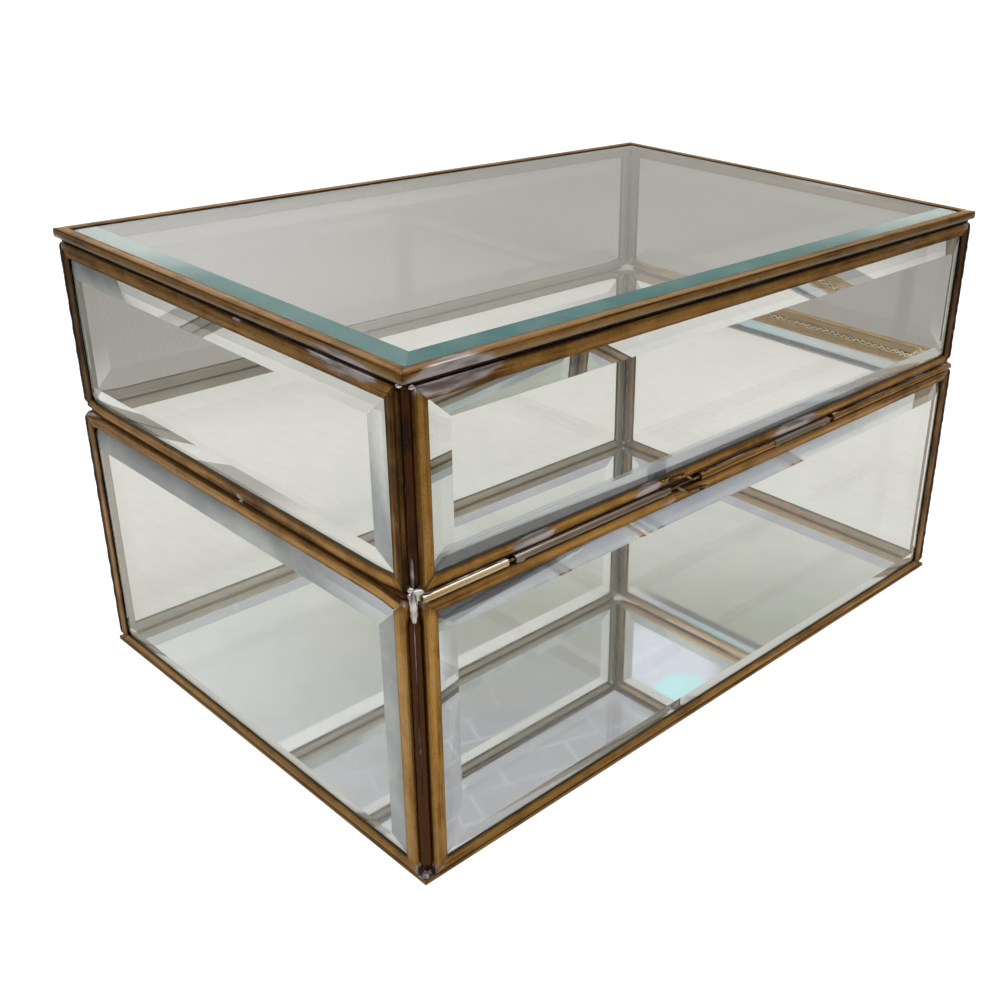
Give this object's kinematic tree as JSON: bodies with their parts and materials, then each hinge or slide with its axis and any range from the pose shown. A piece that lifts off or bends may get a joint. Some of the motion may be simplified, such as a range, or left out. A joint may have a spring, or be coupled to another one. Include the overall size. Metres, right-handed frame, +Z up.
{
  "type": "glass casket box",
  "caption": "Rectangular keepsake casket of bevelled glass panes in soldered brass channels, with a mirror bottom, a hinged glass lid and a stay chain.",
  "frame": {"origin": "middle of the base's underside, on the surface that the casket stands on", "axes": "+X along the hinge, to the right seen from the front; +Y to the back, where the hinge is; +Z up"},
  "size_m": [0.3016, 0.2023, 0.1712],
  "materials": {
    "clear_glass": "polished, clear, bevelled",
    "antique_brass": "antiqued, dark in the grooves",
    "mirror_glass": "silvered mirror plate",
    "hinge_wire": "tinned wire",
    "gold_chain": "bright brass",
    "solder": "dull grey solder"
  },
  "bodies": {
    "base": {"base_front_glass": "clear_glass", "base_back_glass": "clear_glass", "base_right_glass": "clear_glass", "base_left_glass": "clear_glass", "base_front_came_top": "antique_brass", "base_front_came_bottom": "antique_brass", "base_front_came_right": "antique_brass", "base_front_came_left": "antique_brass", "base_back_came_top": "antique_brass", "base_back_came_bottom": "antique_brass", "base_back_came_left": "antique_brass", "base_back_came_right": "antique_brass", "base_right_came_top": "antique_brass", "base_right_came_bottom": "antique_brass", "base_right_came_back": "antique_brass", "base_right_came_front": "antique_brass", "base_left_came_top": "antique_brass", "base_left_came_bottom": "antique_brass", "base_left_came_front": "antique_brass", "base_left_came_back": "antique_brass", "base_mirror": "mirror_glass", "mirror_frame": "antique_brass", "hinge_tube_base_1": "antique_brass", "hinge_tube_base_2": "antique_brass", "hinge_wire_base": "hinge_wire", "chain_eye": "gold_chain", "stay_chain": "gold_chain", "rest_studs": "solder", "base_solder": "solder"},
    "lid": {"lid_front_glass": "clear_glass", "lid_back_glass": "clear_glass", "lid_right_glass": "clear_glass", "lid_left_glass": "clear_glass", "lid_top_glass": "clear_glass", "lid_front_came_top": "antique_brass", "lid_front_came_bottom": "antique_brass", "lid_front_came_right": "antique_brass", "lid_front_came_left": "antique_brass", "lid_back_came_top": "antique_brass", "lid_back_came_bottom": "antique_brass", "lid_back_came_left": "antique_brass", "lid_back_came_right": "antique_brass", "lid_right_came_top": "antique_brass", "lid_right_came_bottom": "antique_brass", "lid_right_came_back": "antique_brass", "lid_right_came_front": "antique_brass", "lid_left_came_top": "antique_brass", "lid_left_came_bottom": "antique_brass", "lid_left_came_front": "antique_brass", "lid_left_came_back": "antique_brass", "lid_top_came_back": "antique_brass", "lid_top_came_front": "antique_brass", "lid_top_came_right": "antique_brass", "lid_top_came_left": "antique_brass", "hinge_tube_lid_1": "antique_brass", "hinge_tube_lid_2": "antique_brass", "hinge_tube_lid_3": "antique_brass", "hinge_wire_lid": "hinge_wire", "chain_ring": "gold_chain", "lid_solder": "solder"}
  },
  "joints": [
    {"name": "lid_hinge", "type": "hinge", "parent": "base", "child": "lid", "pos_m": [0, 0.0994, 0.1025], "axis": [-1, 0, 0], "range_deg": [0, 100], "deforming": ["stay_chain"]}
  ]
}
